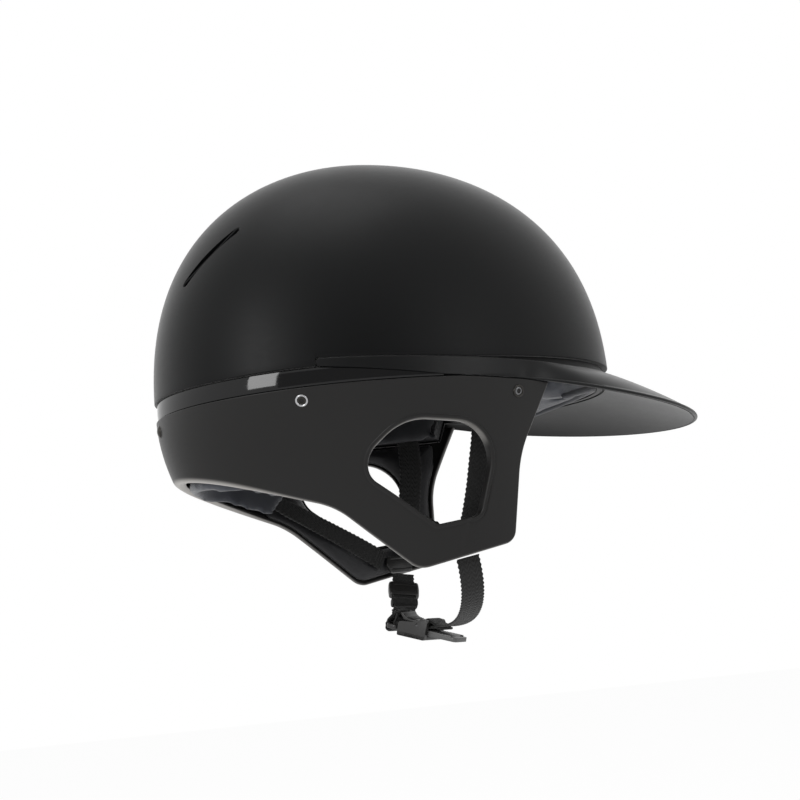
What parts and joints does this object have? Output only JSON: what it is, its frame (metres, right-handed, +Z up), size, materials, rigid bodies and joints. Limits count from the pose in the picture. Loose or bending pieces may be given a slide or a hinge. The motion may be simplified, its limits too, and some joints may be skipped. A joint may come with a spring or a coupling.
{
  "type": "riding helmet",
  "caption": "Riding helmet with a domed shell, wide brim, glossy band, lower guard with ear openings, padded foam liner and a chin strap with a ratchet buckle.",
  "frame": {"origin": "centre of the rim's ellipse, in the plane where the glossy band meets the lower guard", "axes": "+X forwards along the brim, +Y towards the wearer's left, +Z up through the crown"},
  "size_m": [0.338, 0.2164, 0.2923],
  "materials": {
    "shell": "soft-touch matte black",
    "band": "polished black",
    "brim": "soft-touch matte black",
    "guard": "fine matte black",
    "grille": "black",
    "foam": "moulded expanded foam, dark grey",
    "lining": "black knitted cloth",
    "pad": "dark blue-grey satin wicking cloth over foam",
    "hook_tape": "black hook tape",
    "webbing": "black woven webbing",
    "fittings": "black moulded nylon",
    "steel": "plain steel",
    "bright_steel": "bright plated steel",
    "black_steel": "black coated steel",
    "brass": "turned brass"
  },
  "bodies": {
    "helmet": {"outer_shell": "shell", "trim_band": "band", "brim": "brim", "lower_guard": "guard", "vent_grilles": "grille", "foam_liner": "foam", "foam_crown": "foam", "guard_lining_left": "lining", "guard_lining_right": "lining", "front_pad": "pad", "side_pad_left": "pad", "side_pad_right": "pad", "nape_pad": "pad", "crown_pad": "pad", "pad_hook_patches": "hook_tape", "front_strap_left": "webbing", "front_strap_right": "webbing", "rear_strap_left": "webbing", "rear_strap_right": "webbing", "strap_rivets": "steel", "strap_divider_left": "fittings", "strap_divider_right": "fittings", "chin_strap_left": "webbing", "chin_strap_right": "webbing", "buckle_tongue": "fittings", "rear_side_screws": "black_steel", "rear_cup_washers": "bright_steel", "front_side_screws": "steel", "front_cup_washers": "black_steel", "nape_screw": "black_steel", "threaded_inserts": "brass"},
    "buckle": {"buckle_housing": "fittings", "lever_pin": "steel", "lever_spring": "steel"},
    "lever": {"release_lever": "fittings"},
    "slider": {"strap_slider": "fittings"},
    "keeper": {"strap_keeper": "webbing"}
  },
  "joints": [
    {"name": "buckle_slide", "type": "slide", "parent": "helmet", "child": "buckle", "axis": [0.604, -0.7459, -0.2807], "range_m": [0, 0.018], "deforming": ["chin_strap_right"]},
    {"name": "lever_hinge", "type": "hinge", "parent": "buckle", "child": "lever", "pos_m": [0.02889, 0.02213, -0.13216], "axis": [0.7771, 0.6293, 0], "range_deg": [0, 20], "stiffness_Nm_per_rad": 0.005, "springref_deg": -17.19, "deforming": ["lever_spring"]},
    {"name": "slider_slide", "type": "slide", "parent": "helmet", "child": "slider", "axis": [-0.1883, -0.5273, -0.8286], "range_m": [-0.005, 0]},
    {"name": "keeper_slide", "type": "slide", "parent": "helmet", "child": "keeper", "axis": [-0.1883, -0.5273, -0.8286], "range_m": [-0.0012, 0]}
  ]
}
